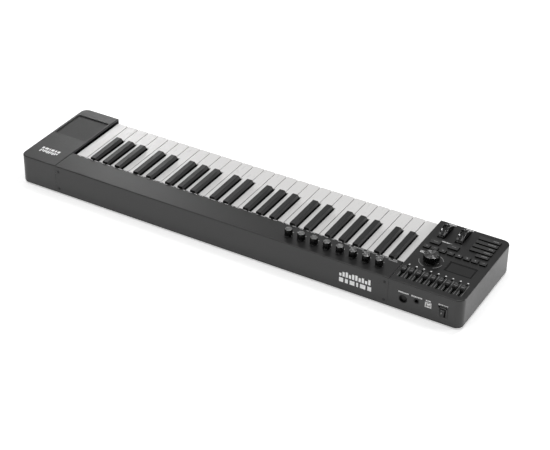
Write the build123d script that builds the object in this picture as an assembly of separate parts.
from build123d import *
import os
from math import cos, radians, sin

# A 49-key MIDI keyboard, in millimetres.  Origin: middle of the footprint on the table.
# +X is the player's right, +Y points to the rear, +Z is up.

# ---- overall case ---------------------------------------------------------------------------
LENGTH = 900.0
DEPTH = 205.0
TOP_Z = 59.3
FOOT_H = 3.0
PLATE_T = 2.0
WALL = 2.5
CORNER_R = 14.0
EDGE_R = 1.5
GAP = 0.3
FIT = 0.05
HALF_L = LENGTH / 2
HALF_D = DEPTH / 2
CASE_Z = FOOT_H + PLATE_T
PANEL_Z = TOP_Z - WALL
INNER_REAR = HALF_D - WALL

# ---- keybed ---------------------------------------------------------------------------------
KEY_PITCH = 23.5
WHITE_COUNT = 29
KEY_GAP = 1.2
KEY_TOP = 52.6
KEY_FRONT = -98.0
SIDE_CLEAR = 1.95
CONTROL_W = 134.4
BED_X0 = -HALF_L + CONTROL_W
KEYS_X0 = BED_X0 + SIDE_CLEAR
BED_X1 = KEYS_X0 + WHITE_COUNT * KEY_PITCH + SIDE_CLEAR
STRIP_Y = 47.4
LIP_R = 0.6
OCTAVE = 7 * KEY_PITCH

SKIRT_Z = 36.0
LIP_Z = 30.6
KEY_WALL = 1.8
CEILING_Z = 49.6
NOTCH_Y = -48.5
NOTCH_HALF = 7.1
TAIL_STEP_Y = 54.0
TAIL_TOP = 44.0
TAIL_REAR = 91.0
PIVOT_Y = 88.0
PIVOT_Z = 40.0
ROD_R = 1.5
BORE_R = 1.55
BAR_Y0 = 92.0
BAR_Y1 = 95.5
BAR_Z = {"a": (34.0, 38.5), "b": (39.5, 43.5), "black": (44.5, 48.5)}

BLACK_HALF = 6.4
BLACK_TOP_HALF = 5.0
BLACK_FRONT = -47.0
BLACK_REAR = 46.3
BLACK_TOP_FRONT = -38.5
BLACK_Z_FRONT = 63.6
BLACK_Z_REAR = 62.6
# place of each black key in the octave: (white keys to its left, sideways offset)
BLACK_PLACES = [(1, -2.3), (2, 2.3), (4, -3.4), (5, 0.0), (6, 3.4)]
COMB_A = [0, 2, 4, 6]
COMB_B = [1, 3, 5]

FRAME_Z = 9.0
FRAME_T = 2.0
POST_TOP = 38.0
EAR_T = 1.6
STOP_Y0, STOP_Y1 = -74.0, -66.0
STOP_Z = 24.5
FELT_TOP = 27.0
BOARD_Z = 22.0
DOME_TOP = 29.4
ACTUATOR_Z = 34.8

# ---- control block --------------------------------------------------------------------------
SLIDER_COUNT = 9
SLIDER_X0 = -435.4
SLIDER_PITCH = 13.44
SLIDER_Y = 71.0
SLOT_HALF = 19.0
LED_Y = 49.0
LED_R = 1.5
SLOT_W = 2.8
SLIDER_HALF_W, SLIDER_HALF_L = 3.5, 6.2

DIAL_X, DIAL_Y = -354.8, 21.1
DIAL_R = 14.5
DIAL_H = 14.0

WINDOW_X0, WINDOW_X1 = -433.9, -383.4
WINDOW_Y0, WINDOW_Y1 = 4.0, 35.0

SMALL_COUNT = 8
SMALL_X0 = -434.7
SMALL_PITCH = 14.93
SMALL_Y = -14.0
SMALL_W, SMALL_D = 11.5, 10.0
LONG_X0, LONG_X1 = -437.0, -397.0
SHORT_X0, SHORT_X1 = -436.4, -413.0
LONG_YS = [-84.0, -71.0, -58.0, -45.0]
SHORT_Y = -32.0
LONG_D = 9.0
WIDE_X = [(-381.0, -362.0), (-347.0, -329.0)]
WIDE_Y0, WIDE_Y1 = -40.0, -27.0
BUTTON_H = 2.6
WEB_Z0, WEB_Z1 = 54.2, 55.4
BUTTON_GAP = 0.35

WHEEL_XS = [-372.0, -339.0]
WHEEL_Y = -72.0
WHEEL_R = 27.0
WHEEL_W = 13.0
WHEEL_RISE = 11.0
WHEEL_Z = TOP_Z + WHEEL_RISE - WHEEL_R
WHEEL_SLOT = (14.6, 45.4)
WHEEL_RELIEF = 49.0
WHEEL_LIP = 1.0
AXLE_R = 2.0

BOARD_TOP = 48.0
BOARD_T = 1.6

# ---- rear strip -----------------------------------------------------------------------------
KNOB_COUNT = 8
KNOB_X0 = -285.5
KNOB_PITCH = 24.95
KNOB_Y = 78.6
KNOB_R = 7.3
KNOB_H = 14.0
SHAFT_R = 3.0
BUSH_R = 4.4
KNOB_LED_X0 = -287.9
KNOB_LED_Y = 66.0
KNOB_LED_R = 1.1

# ---- rear sockets, as (x, z) ----------------------------------------------------------------
DIN_AT = (-343.9, 26.9)
JACK_AT = (-368.2, 31.3)
USB_AT = (-389.4, 31.4)
POWER_AT = (-416.4, 27.6)
FACE_Y = HALF_D - 0.2
DIN_R = 8.0
DIN_CUP_R = 6.9
DIN_CUP_DEPTH = 3.2
DIN_GROOVE = (5.7, 6.6)
DIN_DEPTH = 9.0
JACK_R = 3.25
JACK_LEN = 30.0
JACK_NOSE_R = 5.2
USB_W, USB_H = 12.0, 10.9
POWER_W, POWER_H = 15.0, 22.0
ROCKER_TILT = 7.0
ROCKER_Y = HALF_D - 2.2
POWER_RIM = 0.8
RIM_Y = HALF_D + 1.0

# ---- touchpad block -------------------------------------------------------------------------
PAD_X0, PAD_X1 = 375.0, 444.3
PAD_Y0, PAD_Y1 = -76.0, 1.0
PAD_DEPTH = 2.2
PAD_EDGE = 0.7
PAD_T = 1.45

# ---- screws and feet ------------------------------------------------------------------------
SCREW_R = 1.45
HEAD_R = 3.0
HEAD_H = 1.5
FOOT_R = 9.0
FOOT_XS = [-425.0, -150.0, 200.0, 425.0]
FOOT_Y = 84.0
FRAME_SCREW_XS = [-290.0, -75.0, 130.0, 345.0]
FRAME_SCREW_Y = 80.0
CONTROL_BOSSES = [(-444.6, -60.0), (-444.6, 42.0), (-321.4, -60.0), (-321.4, 42.0)]
PAD_BOSSES = [(444.6, -85.0), (444.6, 60.0), (375.4, -85.0), (375.4, 60.0)]
BOSS_R = 3.5
COVER_SCREW_XS = [-308.5, 363.0]
COVER_SCREW_ZS = [48.6, 12.6]


# ---- basic shapes ---------------------------------------------------------------------------
def block(x0, x1, y0, y1, z0, z1):
    """Rectangular solid between two corners."""
    centre = Pos((x0 + x1) / 2, (y0 + y1) / 2, (z0 + z1) / 2)
    return centre * Box(x1 - x0, y1 - y0, z1 - z0)


def rod_x(x0, x1, y, z, r):
    return Pos((x0 + x1) / 2, y, z) * Rot(0, 90, 0) * Cylinder(r, x1 - x0)


def rod_y(x, z, y0, y1, r):
    return Pos(x, (y0 + y1) / 2, z) * Rot(90, 0, 0) * Cylinder(r, y1 - y0)


def rod_z(x, y, z0, z1, r):
    return Pos(x, y, (z0 + z1) / 2) * Cylinder(r, z1 - z0)


def round_uprights(shape, r, test=lambda e: True):
    """Fillet the vertical edges that pass the test."""
    return fillet(shape.edges().filter_by(Axis.Z).filter_by(test), r)


def round_top(shape, r):
    """Fillet every edge of the highest face."""
    return fillet(shape.faces().sort_by(Axis.Z)[-1].edges(), r)


def rounded_block(x0, x1, y0, y1, z0, z1, r):
    return round_uprights(block(x0, x1, y0, y1, z0, z1), r)


def end_block(x_outer, x_inner, inset, z0, z1, r):
    """Plan shape of an end module: the two corners on its outer side are rounded."""
    low, high = sorted((x_outer, x_inner))
    shape = block(low, high, -HALF_D + inset, HALF_D - inset, z0, z1)
    return round_uprights(shape, r, lambda e: abs(e.center().X - x_outer) < 0.1)


def union(shapes):
    first, *rest = shapes
    return first + rest if rest else first


# ---- case parts -----------------------------------------------------------------------------
def frame_screw_places():
    return [(x, y) for x in FRAME_SCREW_XS for y in (-FRAME_SCREW_Y, FRAME_SCREW_Y)]


def bottom_screw_places():
    return frame_screw_places() + CONTROL_BOSSES + PAD_BOSSES


def bottom_tray():
    inset = 0.8
    tray = block(-HALF_L + inset, HALF_L - inset, -HALF_D + inset, HALF_D - inset, FOOT_H, CASE_Z)
    tray = round_uprights(tray, CORNER_R - inset)
    rail_rear = KEY_FRONT - 1.7
    tray += block(BED_X0 + GAP, BED_X1 - GAP, -HALF_D, rail_rear, FOOT_H + 0.5, LIP_Z - 2.6)
    tray += [rod_z(x, y, CASE_Z, FRAME_Z - FIT, 5.0) for x, y in frame_screw_places()]
    for x, y in bottom_screw_places():
        tray -= rod_z(x, y, FOOT_H - 1, FRAME_Z, SCREW_R + FIT)
        tray -= rod_z(x, y, FOOT_H - 1, FOOT_H + HEAD_H + FIT, HEAD_R + FIT)
    return tray


def rubber_feet():
    feet = [rod_z(x, y, 0, FOOT_H, FOOT_R) for x in FOOT_XS for y in (-FOOT_Y, FOOT_Y)]
    return Compound([chamfer(f.faces().sort_by(Axis.Z)[0].edges(), 0.8) for f in feet])


def bosses(places, z1):
    """Screw columns that stand on the tray, each with its pilot hole."""
    columns = [rod_z(x, y, CASE_Z + FIT, z1, BOSS_R) for x, y in places]
    holes = [rod_z(x, y, CASE_Z, CASE_Z + 16, SCREW_R + FIT) for x, y in places]
    return columns, holes


def control_housing():
    x_in = BED_X0 - GAP
    shell = end_block(-HALF_L, x_in, 0, CASE_Z + FIT, PANEL_Z - FIT, CORNER_R)
    shell -= end_block(-HALF_L + WALL, x_in - WALL, WALL, CASE_Z, TOP_Z, CORNER_R - WALL)
    columns, holes = bosses(CONTROL_BOSSES, PANEL_Z - FIT)
    shell += columns
    shell -= holes
    shell -= rod_y(*DIN_AT, INNER_REAR - 1, HALF_D + 1, DIN_R + FIT)
    shell -= rod_y(*JACK_AT, INNER_REAR - 1, HALF_D + 1, JACK_NOSE_R + FIT)
    for (x, z), w, h in ((USB_AT, USB_W, USB_H), (POWER_AT, POWER_W, POWER_H)):
        half_w, half_h = w / 2 + FIT, h / 2 + FIT
        shell -= block(x - half_w, x + half_w, INNER_REAR - 1, HALF_D + 1, z - half_h, z + half_h)
    return shell


def slider_xs():
    return [SLIDER_X0 + SLIDER_PITCH * i for i in range(SLIDER_COUNT)]


def small_boxes():
    """Plan boxes (x0, x1, y0, y1) of the row of small buttons."""
    centres = [SMALL_X0 + SMALL_PITCH * i for i in range(SMALL_COUNT)]
    y0, y1 = SMALL_Y - SMALL_D / 2, SMALL_Y + SMALL_D / 2
    return [(x - SMALL_W / 2, x + SMALL_W / 2, y0, y1) for x in centres]


def function_boxes():
    """Plan boxes of the long, short and wide buttons."""
    half = LONG_D / 2
    boxes = [(LONG_X0, LONG_X1, y - half, y + half) for y in LONG_YS]
    boxes.append((SHORT_X0, SHORT_X1, SHORT_Y - half, SHORT_Y + half))
    return boxes + [(x0, x1, WIDE_Y0, WIDE_Y1) for x0, x1 in WIDE_X]


def control_panel():
    panel = end_block(-HALF_L, BED_X0 - GAP, 0, PANEL_Z, TOP_Z, CORNER_R)
    panel = round_top(panel, EDGE_R)
    low, high = PANEL_Z - 1, TOP_Z + 1
    for x in slider_xs():
        y0, y1 = SLIDER_Y - SLOT_HALF, SLIDER_Y + SLOT_HALF
        panel -= rounded_block(x - SLOT_W / 2, x + SLOT_W / 2, y0, y1, low, high, 1.0)
        panel -= rod_z(x, LED_Y, low, high, LED_R + FIT)
    panel -= rod_z(DIAL_X, DIAL_Y, low, high, BUSH_R + FIT)
    panel -= rounded_block(WINDOW_X0, WINDOW_X1, WINDOW_Y0, WINDOW_Y1, low, high, 1.0)
    for x0, x1, y0, y1 in small_boxes() + function_boxes():
        g = BUTTON_GAP
        panel -= rounded_block(x0 - g, x1 + g, y0 - g, y1 + g, low, high, 1.4)
    half_w = WHEEL_SLOT[0] / 2
    for x in WHEEL_XS:
        for length, top in ((WHEEL_SLOT[1], high), (WHEEL_RELIEF, TOP_Z - WHEEL_LIP)):
            y0, y1 = WHEEL_Y - length / 2, WHEEL_Y + length / 2
            panel -= rounded_block(x - half_w, x + half_w, y0, y1, low, top, 1.5)
    return panel


def touchpad_housing():
    x_in = BED_X1 + GAP
    shell = end_block(HALF_L, x_in, 0, CASE_Z + FIT, TOP_Z, CORNER_R)
    shell = round_top(shell, EDGE_R)
    shell -= end_block(HALF_L - WALL, x_in + WALL, WALL, CASE_Z, PANEL_Z, CORNER_R - WALL)
    floor_z = TOP_Z - PAD_DEPTH - PAD_T - FIT
    shell += block(PAD_X0 - WALL, PAD_X1 + WALL, PAD_Y0 - WALL, PAD_Y1 + WALL, floor_z - 2, TOP_Z - 1)
    shell -= rounded_block(PAD_X0, PAD_X1, PAD_Y0, PAD_Y1, floor_z, TOP_Z + 1, 2.0)
    rim = shell.edges().group_by(Axis.Z)[-1]
    rim = rim.filter_by_position(Axis.X, PAD_X0, PAD_X1).filter_by_position(Axis.Y, PAD_Y0, PAD_Y1)
    shell = chamfer(rim, PAD_EDGE)
    columns, holes = bosses(PAD_BOSSES, PANEL_Z + 0.5)
    shell += columns
    return shell - holes


def touchpad_surface():
    z0 = TOP_Z - PAD_DEPTH - PAD_T
    pad = rounded_block(PAD_X0 + FIT, PAD_X1 - FIT, PAD_Y0 + FIT, PAD_Y1 - FIT, z0, z0 + PAD_T, 2.0)
    return round_top(pad, 0.4)


def knob_xs():
    return [KNOB_X0 + KNOB_PITCH * i for i in range(KNOB_COUNT)]


def rear_cover():
    x0, x1 = BED_X0, BED_X1
    cover = block(x0, x1, STRIP_Y, HALF_D, CASE_Z + FIT, TOP_Z)
    cover = fillet(cover.edges().filter_by(Axis.X).group_by(Axis.Z)[-1].sort_by(Axis.Y)[-1], EDGE_R)
    cover = fillet(cover.edges().filter_by(Axis.X).group_by(Axis.Z)[-1].sort_by(Axis.Y)[0], LIP_R)
    cover -= block(x0 - 1, x1 + 1, STRIP_Y + WALL, INNER_REAR, CASE_Z, PANEL_Z)
    cover -= block(x0 - 1, x1 + 1, STRIP_Y - 1, STRIP_Y + WALL + 1, CASE_Z, KEY_TOP + 1.6)
    for i, x in enumerate(knob_xs()):
        cover -= rod_z(x, KNOB_Y, PANEL_Z - 1, TOP_Z + 1, BUSH_R + FIT)
        led_x = KNOB_LED_X0 + KNOB_PITCH * i
        cover -= rod_z(led_x, KNOB_LED_Y, PANEL_Z - 1, TOP_Z + 1, KNOB_LED_R + FIT)
    for x, z in cover_screw_places():
        cover -= rod_y(x, z, INNER_REAR - 1, HALF_D + 1, SCREW_R + FIT)
        cover -= rod_y(x, z, HALF_D - HEAD_H - FIT, HALF_D + 1, HEAD_R + FIT)
    return cover


def cover_screw_places():
    return [(x, z) for x in COVER_SCREW_XS for z in COVER_SCREW_ZS]


def screw(length):
    """Countersunk screw with its head's top at z = 0 and its shank going down."""
    body = rod_z(0, 0, -HEAD_H, 0, HEAD_R) + rod_z(0, 0, -length, -HEAD_H, SCREW_R)
    for angle in (0, 90):
        body -= Rot(0, 0, angle) * Box(3.4, 0.7, 1.6)
    return body


def case_screws():
    up = [Pos(x, y, FOOT_H) * Rot(180, 0, 0) * screw(14) for x, y in CONTROL_BOSSES + PAD_BOSSES]
    up += [Pos(x, y, FOOT_H) * Rot(180, 0, 0) * screw(10) for x, y in frame_screw_places()]
    rear = [Pos(x, HALF_D, z) * Rot(-90, 0, 0) * screw(6) for x, z in cover_screw_places()]
    return Compound(up + rear)


# ---- keys -----------------------------------------------------------------------------------
def white_left(index):
    return KEYS_X0 + KEY_PITCH * index


def black_centres():
    """X of every black key, four full octaves of five."""
    starts = [KEYS_X0 + OCTAVE * octave for octave in range(4)]
    return [start + KEY_PITCH * n + offset for start in starts for n, offset in BLACK_PLACES]


def tail_sides(index):
    """Left and right edge of a white key beside and behind the black keys."""
    left = white_left(index) + KEY_GAP / 2
    right = white_left(index + 1) - KEY_GAP / 2
    for x in black_centres():
        if left - NOTCH_HALF < x < left + KEY_PITCH / 2:
            left = max(left, x + NOTCH_HALF)
        if right - KEY_PITCH / 2 < x < right + NOTCH_HALF:
            right = min(right, x - NOTCH_HALF)
    return left, right


def stub_and_bore(key, left, right, comb, top):
    """Add the web to the comb's rear bar, then drill the pivot bore."""
    z0, z1 = BAR_Z[comb]
    key += block(left, right, PIVOT_Y - 6, TAIL_REAR, BAR_Z["a"][0], top)
    key += block(left + 1.2, right - 1.2, TAIL_REAR - 1, BAR_Y0 + 0.5, z0, z1)
    return key - rod_x(left - 1, right + 1, PIVOT_Y, PIVOT_Z, BORE_R)


def white_key(index, comb):
    x0, x1 = white_left(index) + KEY_GAP / 2, white_left(index + 1) - KEY_GAP / 2
    left, right = tail_sides(index)
    head = block(x0, x1, KEY_FRONT, NOTCH_Y, LIP_Z, KEY_TOP)
    head = round_uprights(head, 2.2, lambda e: e.center().Y < KEY_FRONT + 1)
    key = head + block(left, right, NOTCH_Y - 1, TAIL_STEP_Y, LIP_Z, KEY_TOP)
    key = round_top(key, 0.6)
    key -= block(x0 - 1, x1 + 1, KEY_FRONT + 2.2, TAIL_STEP_Y + 1, LIP_Z - 1, SKIRT_Z)
    hollow = block(x0 + KEY_WALL, x1 - KEY_WALL, KEY_FRONT + 2.2, NOTCH_Y - KEY_WALL, LIP_Z, CEILING_Z)
    hollow += block(left + KEY_WALL, right - KEY_WALL, NOTCH_Y - 3, TAIL_STEP_Y - 2, LIP_Z, CEILING_Z)
    key -= hollow
    middle = (left + right) / 2
    key += block(middle - 2, middle + 2, -3, 3, ACTUATOR_Z, CEILING_Z + 1)
    key += block(left, right, TAIL_STEP_Y - 2, TAIL_REAR, SKIRT_Z, TAIL_TOP)
    return stub_and_bore(key, left, right, comb, TAIL_TOP + 0.5)


def black_key():
    """A black key centred on x = 0, with its tail."""
    base_z = KEY_TOP - 2.6
    h, t = BLACK_HALF, BLACK_TOP_HALF
    foot = [(-h, BLACK_FRONT, base_z), (h, BLACK_FRONT, base_z)]
    foot += [(h, BLACK_REAR, base_z), (-h, BLACK_REAR, base_z)]
    crown = [(-t, BLACK_TOP_FRONT, BLACK_Z_FRONT), (t, BLACK_TOP_FRONT, BLACK_Z_FRONT)]
    crown += [(t, BLACK_REAR, BLACK_Z_REAR), (-t, BLACK_REAR, BLACK_Z_REAR)]
    faces = [make_face(Polyline(*ring, close=True)) for ring in (foot, crown)]
    cap = loft(faces, ruled=True)
    top = cap.faces().sort_by(Axis.Z)[-1]
    cap = fillet(top.edges().sort_by(Axis.Y)[:1], 3.0)
    sides = cap.edges().filter_by(lambda e: e.center().Z > base_z + 2 and e.center().Y < BLACK_REAR - 1)
    cap = fillet(sides.filter_by(lambda e: abs(e.center().X) > 2.0), 0.9)
    key = cap + block(-h, h, BLACK_FRONT, BLACK_REAR, SKIRT_Z, base_z)
    key -= block(-4.6, 4.6, BLACK_FRONT + 2, 26, SKIRT_Z - 1, BLACK_Z_REAR - 5)
    key -= block(-4.6, 4.6, 25, 44, SKIRT_Z - 1, PIVOT_Z + 6)
    key += block(-2, 2, -3, 3, ACTUATOR_Z, BLACK_Z_REAR - 4)
    key += block(-5.5, 5.5, BLACK_REAR - 2, TAIL_REAR, SKIRT_Z, TAIL_TOP)
    key += block(-5.5, 5.5, TAIL_REAR - 4, TAIL_REAR, TAIL_TOP - 1, BAR_Z["black"][1])
    return stub_and_bore(key, -5.5, 5.5, "black", TAIL_TOP + 0.5)


def comb_bar(keys, comb):
    """Rear bar that joins the keys of one moulded comb."""
    box = Compound(keys).bounding_box()
    return block(box.min.X + 2, box.max.X - 2, BAR_Y0, BAR_Y1, *BAR_Z[comb])


def ear_xs():
    """X of the thin pivot ears, which stand in the gaps between octaves."""
    return [KEYS_X0 + OCTAVE * n for n in range(1, 5)]


def white_comb(octave, comb):
    indices = [7 * octave + n for n in (COMB_A if comb == "a" else COMB_B)]
    if comb == "a" and octave == 3:
        indices.append(28)
    keys = [white_key(i, comb) for i in indices]
    solid = union([comb_bar(keys, comb)] + keys)
    for x in ear_xs():
        solid -= block(x - 1.4, x + 1.4, PIVOT_Y - 8, TAIL_REAR + 0.6, LIP_Z, TAIL_TOP + 2)
    return solid


def black_comb(octave):
    pattern = black_key()
    start = KEYS_X0 + OCTAVE * octave
    keys = [Pos(start + KEY_PITCH * n + offset, 0, 0) * pattern for n, offset in BLACK_PLACES]
    return union([comb_bar(keys, "black")] + keys)


# ---- under the keys -------------------------------------------------------------------------
def key_middles():
    """(x, is_black) for every key, at the middle of its narrow part."""
    whites = [(sum(tail_sides(i)) / 2, False) for i in range(WHITE_COUNT)]
    return whites + [(x, True) for x in black_centres()]


def keybed_frame():
    x0, x1 = BED_X0 + 0.4, BED_X1 - 0.4
    frame = block(x0, x1, -94, 98, FRAME_Z, FRAME_Z + FRAME_T)
    top = FRAME_Z + FRAME_T - 0.5
    parts = [block(x0, x1, STOP_Y0, STOP_Y1, top, STOP_Z)]
    parts += [block(x0, x1, y, y + 2, top, BOARD_Z) for y in (-22, 20)]
    for i in range(WHITE_COUNT):
        x = white_left(i) + KEY_PITCH / 2
        parts.append(block(x - 3, x + 3, -62, -56, top, POST_TOP))
    for x in black_centres():
        parts.append(block(x - 2, x + 2, -37, -31, top, POST_TOP))
    ears = [(x - EAR_T / 2, x + EAR_T / 2) for x in ear_xs()]
    ears += [(x0, x0 + 1.3), (x1 - 1.3, x1)]
    parts += [block(a, b, PIVOT_Y - 6, TAIL_REAR, top, PIVOT_Z + 4) for a, b in ears]
    parts += [block(x0, x0 + 14, 97.9, 99.9, FRAME_Z, 53), block(x1 - 14, x1, 97.9, 99.9, FRAME_Z, 53)]
    frame += parts
    frame -= rod_x(x0 - 1, x1 + 1, PIVOT_Y, PIVOT_Z, ROD_R + 0.02)
    frame -= [rod_y(x, z, 97, 101, SCREW_R + FIT) for x, z in cover_screw_places()]
    frame -= [rod_z(x, y, FRAME_Z - 1, 13, SCREW_R + FIT) for x, y in frame_screw_places()]
    return frame


def key_pivot_rod():
    return rod_x(BED_X0 + 0.5, BED_X1 - 0.5, PIVOT_Y, PIVOT_Z, ROD_R)


def key_contact_board():
    """Circuit board with one rubber dome under each key."""
    board = block(BED_X0 + 3, BED_X1 - 3, -22, 22, BOARD_Z + FIT, BOARD_Z + FIT + 1.6)
    return board + [rod_z(x, 0, BOARD_Z + 1, DOME_TOP, 2.6) for x, _ in key_middles()]


def key_return_springs():
    """One sprung steel finger under each key, cut from a common strip."""
    z = FRAME_Z + FRAME_T + FIT
    strip = block(BED_X0 + 3, BED_X1 - 3, 60, 68, z, z + 0.6)
    outline = [(61, z), (55, z), (36, 42), (28, 42), (28, 42.5), (36.2, 42.5), (55.3, z + 0.6), (61, z + 0.6)]
    blade = extrude(make_face(Polyline(*[(0, y, h) for y, h in outline], close=True)), amount=3.6)
    blade = Pos(-blade.center().X, 0, 0) * blade
    return strip + [Pos(x, 0, 0) * blade for x, _ in key_middles()]


def key_stop_felt():
    return block(BED_X0 + 1, BED_X1 - 1, STOP_Y0, STOP_Y1, STOP_Z + FIT, FELT_TOP)


# ---- control block insides ------------------------------------------------------------------
def encoder(x, y, z0, z_panel):
    """Rotary encoder body with its bushing reaching up through a panel."""
    body = block(x - 5.5, x + 5.5, y - 5.5, y + 5.5, z0, z_panel - FIT)
    body += rod_z(x, y, z0, TOP_Z - 0.1, BUSH_R)
    return body - rod_z(x, y, z_panel - 5.5, TOP_Z + 1, SHAFT_R + FIT)


def control_board():
    z0 = BOARD_TOP - BOARD_T
    board = block(-438.5, -327, -43, 45, z0, BOARD_TOP)
    board += block(-438.5, -392, -92, -42, z0, BOARD_TOP)
    switches = []
    for x0, x1, y0, y1 in small_boxes() + function_boxes():
        x, y = (x0 + x1) / 2, (y0 + y1) / 2
        switches.append(block(x - 3, x + 3, y - 3, y + 3, BOARD_TOP - 0.5, 51.5))
        switches.append(rod_z(x, y, 51, 52.6, 1.6))
    board += switches
    return board + encoder(DIAL_X, DIAL_Y, BOARD_TOP - 0.5, PANEL_Z)


def display_module():
    return block(-437, -381, 1.5, 37.5, BOARD_TOP + FIT, PANEL_Z - FIT)


def display_window():
    g = FIT
    window = block(WINDOW_X0 + g, WINDOW_X1 - g, WINDOW_Y0 + g, WINDOW_Y1 - g, PANEL_Z, TOP_Z - 0.7)
    return round_uprights(window, 1.0)


def wheel_bracket():
    base = block(-386, -326.5, -84, -60, CASE_Z + FIT, 7)
    uprights = [(-385.0, -383.0), (-357.0, -354.0), (-329.0, -327.0)]
    base += [block(a, b, -78, -66, 6, 50) for a, b in uprights]
    return base - rod_x(-390, -320, WHEEL_Y, WHEEL_Z, AXLE_R + 0.02)


def wheel_axle():
    return rod_x(-386, -326, WHEEL_Y, WHEEL_Z, AXLE_R)


def slider_potentiometers():
    """Nine straight-track potentiometers on one carrier board."""
    board = block(-439.5, -324, 50.2, 93, 47.3, 48.9)
    bodies = [block(x - 3.2, x + 3.2, 50.2, 92, 48.5, PANEL_Z - FIT) for x in slider_xs()]
    tracks = [block(x - 1.4, x + 1.4, 51.6, 90.4, 50.4, TOP_Z) for x in slider_xs()]
    return board + bodies - tracks


def knob_encoders():
    board = block(KNOB_X0 - 10, KNOB_X0 + 7 * KNOB_PITCH + 10, 70, 86.5, 45.2, 46.6)
    return board + [encoder(x, KNOB_Y, 46, PANEL_Z) for x in knob_xs()]


def panel_leds():
    """Light pipes: one above each slider, one beside each knob."""
    low = PANEL_Z
    pipes = [rod_z(x, LED_Y, low, TOP_Z + 0.3, LED_R) for x in slider_xs()]
    knob_leds = [KNOB_LED_X0 + KNOB_PITCH * i for i in range(KNOB_COUNT)]
    pipes += [rod_z(x, KNOB_LED_Y, low, TOP_Z + 0.2, KNOB_LED_R) for x in knob_leds]
    return Compound([fillet(p.faces().sort_by(Axis.Z)[-1].edges(), 0.3) for p in pipes])


# ---- moving controls ------------------------------------------------------------------------
def wheel(x, dimple_deg):
    """Thumb wheel on the axle: a hollowed tread, a web and a hub."""
    half, hub, rim_in = WHEEL_W / 2, 6.0, 15.0
    shoulder, crest = WHEEL_R - 2.4, half - 2.2
    lines = Polyline((-half, shoulder), (-half, rim_in), (-2.5, rim_in), (-2.5, hub), (-half, hub),
                     (-half, AXLE_R + FIT), (half, AXLE_R + FIT), (half, hub), (2.5, hub),
                     (2.5, rim_in), (half, rim_in), (half, shoulder))
    left = RadiusArc((-half, shoulder), (-crest, WHEEL_R), 2.6)
    tread = ThreePointArc((-crest, WHEEL_R), (0, WHEEL_R - 0.9), (crest, WHEEL_R))
    right = RadiusArc((crest, WHEEL_R), (half, shoulder), 2.6)
    section = make_face([lines, left, tread, right])
    body = revolve(section, Axis.X)
    a = radians(dimple_deg)
    reach = WHEEL_R + 4.6
    body -= Pos(0, -reach * sin(a), reach * cos(a)) * Sphere(7.0)
    return Pos(x, WHEEL_Y, WHEEL_Z) * body


def fluted_cap(r, h, flutes, depth, hollow_r, hollow_h):
    """Round cap standing on z = 0, with grip flutes, a chamfered top and a hollow underside."""
    plan = Circle(r)
    groove_r = 2.2 * depth
    plan -= PolarLocations(r + groove_r - depth, flutes) * Circle(groove_r)
    body = extrude(plan, amount=h - 1.6)
    body += rod_z(0, 0, 0, 1.4, r)
    crown = chamfer(rod_z(0, 0, h - 1.8, h, r).faces().sort_by(Axis.Z)[-1].edges(), 0.5)
    body += crown
    return body - rod_z(0, 0, -1, hollow_h, hollow_r)


def data_dial():
    base = TOP_Z + 0.4
    dial = Pos(0, 0, base) * fluted_cap(DIAL_R, DIAL_H - 0.4, 36, 0.25, 11.0, 6.0)
    dial += rod_z(0, 0, PANEL_Z - 5.3, base + 8, SHAFT_R)
    return Pos(DIAL_X, DIAL_Y, 0) * dial


def knob():
    base = TOP_Z + 0.3
    cap = Pos(0, 0, base) * fluted_cap(KNOB_R, KNOB_H - 0.3, 20, 0.3, 5.3, 3.0)
    return cap + rod_z(0, 0, PANEL_Z - 5.3, base + 8, SHAFT_R)


def slider():
    """Slider at x = 0: a saddle-shaped cap on a flat stem."""
    base, top = TOP_Z + 0.5, TOP_Z + 7.0
    half_w, half_l = SLIDER_HALF_W, SLIDER_HALF_L
    cap = block(-half_w, half_w, SLIDER_Y - half_l, SLIDER_Y + half_l, base, top)
    cap = round_uprights(cap, 1.0)
    cap = fillet(cap.faces().sort_by(Axis.Z)[-1].edges(), 0.6)
    cap -= rod_x(-6, 6, SLIDER_Y, top + 16.6, 17.4)
    return cap + block(-0.8, 0.8, SLIDER_Y - 2, SLIDER_Y + 2, 51, base + 1)


def button_cap(x0, x1, y0, y1):
    cap = rounded_block(x0, x1, y0, y1, WEB_Z0, TOP_Z + BUTTON_H, 1.2)
    return round_top(cap, 0.5)


def small_buttons():
    """Row of small buttons on one moulded keypad strip."""
    boxes = small_boxes()
    web = block(boxes[0][0] - 1, boxes[-1][1] + 1, boxes[0][2] - 1, boxes[0][3] + 1, WEB_Z0, WEB_Z1)
    return web + [button_cap(*box) for box in boxes]


def function_buttons():
    """Long, short and wide buttons on one moulded keypad."""
    web = block(LONG_X0 - 1, LONG_X1 + 1, -89.5, -26.5, WEB_Z0, WEB_Z1)
    web += block(WIDE_X[0][0] - 1, WIDE_X[1][1] + 1, WIDE_Y0 - 1, WIDE_Y1 + 1, WEB_Z0, WEB_Z1)
    web += block(LONG_X1, WIDE_X[0][0], -38, -31, WEB_Z0, WEB_Z1)
    return web + [button_cap(*box) for box in function_boxes()]


# ---- rear sockets ---------------------------------------------------------------------------
def din_socket():
    x, z = DIN_AT
    body = block(x - 9, x + 9, 86, INNER_REAR - FIT, z - 9.5, z + 9)
    body += rod_y(x, z, 90, FACE_Y, DIN_R)
    face = FACE_Y - DIN_CUP_DEPTH
    body -= rod_y(x, z, face, HALF_D + 1, DIN_CUP_R)
    inner_r, outer_r = DIN_GROOVE
    body -= rod_y(x, z, FACE_Y - DIN_DEPTH, face + 1, outer_r) - rod_y(x, z, FACE_Y - DIN_DEPTH, face + 1, inner_r)
    for step in range(5):
        a = radians(180 + 45 * step)
        px, pz = x + 4.6 * cos(a), z + 4.6 * sin(a)
        body -= rod_y(px, pz, FACE_Y - DIN_DEPTH, face + 1, 0.8)
    return body


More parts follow.
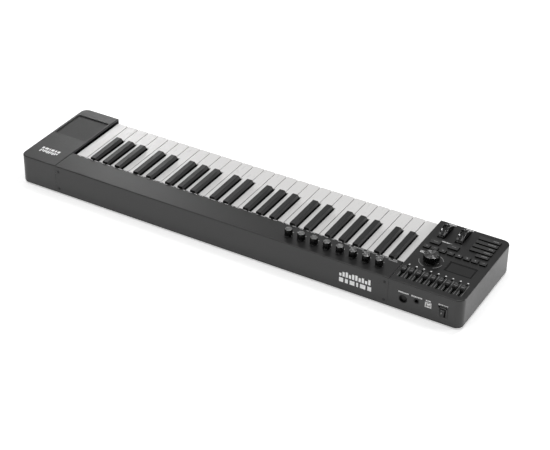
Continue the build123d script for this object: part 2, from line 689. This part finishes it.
def pedal_jack():
    x, z = JACK_AT
    body = block(x - 6.5, x + 6.5, 68, INNER_REAR - FIT, z - 6.5, z + 6.5)
    body += rod_y(x, z, 90, FACE_Y, JACK_NOSE_R)
    return body - rod_y(x, z, FACE_Y - JACK_LEN, HALF_D + 1, JACK_R)


def usb_socket():
    x, z = USB_AT
    shell = block(x - USB_W / 2, x + USB_W / 2, 86, FACE_Y, z - USB_H / 2, z + USB_H / 2)
    shell = fillet(shell.edges().filter_by(Axis.Y).group_by(Axis.Z)[-1], 1.5)
    shell -= block(x - 4.6, x + 4.6, 93, HALF_D + 1, z - 4.2, z + 4.2)
    return shell + block(x - 2.8, x + 2.8, 92, 97.2, z - 1.6, z + 1.6)


def power_switch_frame():
    x, z = POWER_AT
    half_w, half_h = POWER_W / 2, POWER_H / 2
    body = block(x - half_w, x + half_w, 84, RIM_Y - 0.5, z - half_h, z + half_h)
    rim_w, rim_h = half_w + POWER_RIM, half_h + POWER_RIM
    body += block(x - rim_w, x + rim_w, HALF_D + 0.05, RIM_Y, z - rim_h, z + rim_h)
    body -= block(x - 5.9, x + 5.9, 89, RIM_Y + 1, z - 9.4, z + 9.4)
    return body - rod_x(x - half_w - 1, x + half_w + 1, ROCKER_Y, z, 1.05)


def power_rocker():
    """Rocker tilted to its rest side: the upper half is pushed in."""
    x, z = POWER_AT
    outline = [(3.2, 8.6), (1.9, 0), (3.2, -8.6), (-1.0, -8.2), (-4.5, 0), (-1.0, 8.2)]
    face = make_face(Polyline(*[(0, a, b) for a, b in outline], close=True))
    body = extrude(face, amount=11.2)
    body = Pos(-body.center().X, 0, 0) * body
    body += rod_x(-7.1, 7.1, 0, 0, 1.0)
    return Pos(x, ROCKER_Y, z) * Rot(ROCKER_TILT, 0, 0) * body


# ---- write every node -----------------------------------------------------------------------
def all_nodes():
    nodes = {
        "bottom_tray": bottom_tray(),
        "rubber_feet": rubber_feet(),
        "control_housing": control_housing(),
        "control_panel": control_panel(),
        "touchpad_housing": touchpad_housing(),
        "touchpad_surface": touchpad_surface(),
        "rear_cover": rear_cover(),
        "case_screws": case_screws(),
        "keybed_frame": keybed_frame(),
        "key_pivot_rod": key_pivot_rod(),
        "key_contact_board": key_contact_board(),
        "key_return_springs": key_return_springs(),
        "key_stop_felt": key_stop_felt(),
        "control_board": control_board(),
        "display_module": display_module(),
        "display_window": display_window(),
        "wheel_bracket": wheel_bracket(),
        "wheel_axle": wheel_axle(),
        "slider_potentiometers": slider_potentiometers(),
        "knob_encoders": knob_encoders(),
        "panel_leds": panel_leds(),
        "din_socket": din_socket(),
        "pedal_jack": pedal_jack(),
        "usb_socket": usb_socket(),
        "power_switch_frame": power_switch_frame(),
        "power_rocker": power_rocker(),
        "pitch_wheel": wheel(WHEEL_XS[1], 12),
        "mod_wheel": wheel(WHEEL_XS[0], 12),
        "data_dial": data_dial(),
        "small_buttons": small_buttons(),
        "function_buttons": function_buttons(),
    }
    for octave in range(4):
        nodes[f"white_comb_a_{octave + 1}"] = white_comb(octave, "a")
        nodes[f"white_comb_b_{octave + 1}"] = white_comb(octave, "b")
        nodes[f"black_comb_{octave + 1}"] = black_comb(octave)
    knob_shape = knob()
    for i, x in enumerate(knob_xs()):
        nodes[f"knob_{i + 1}"] = Pos(x, KNOB_Y, 0) * knob_shape
    slider_shape = slider()
    for i, x in enumerate(slider_xs()):
        nodes[f"slider_{i + 1}"] = Pos(x, 0, 0) * slider_shape
    return nodes


os.makedirs("parts", exist_ok=True)
for name, shape in all_nodes().items():
    export_step(shape, f"parts/{name}.step")
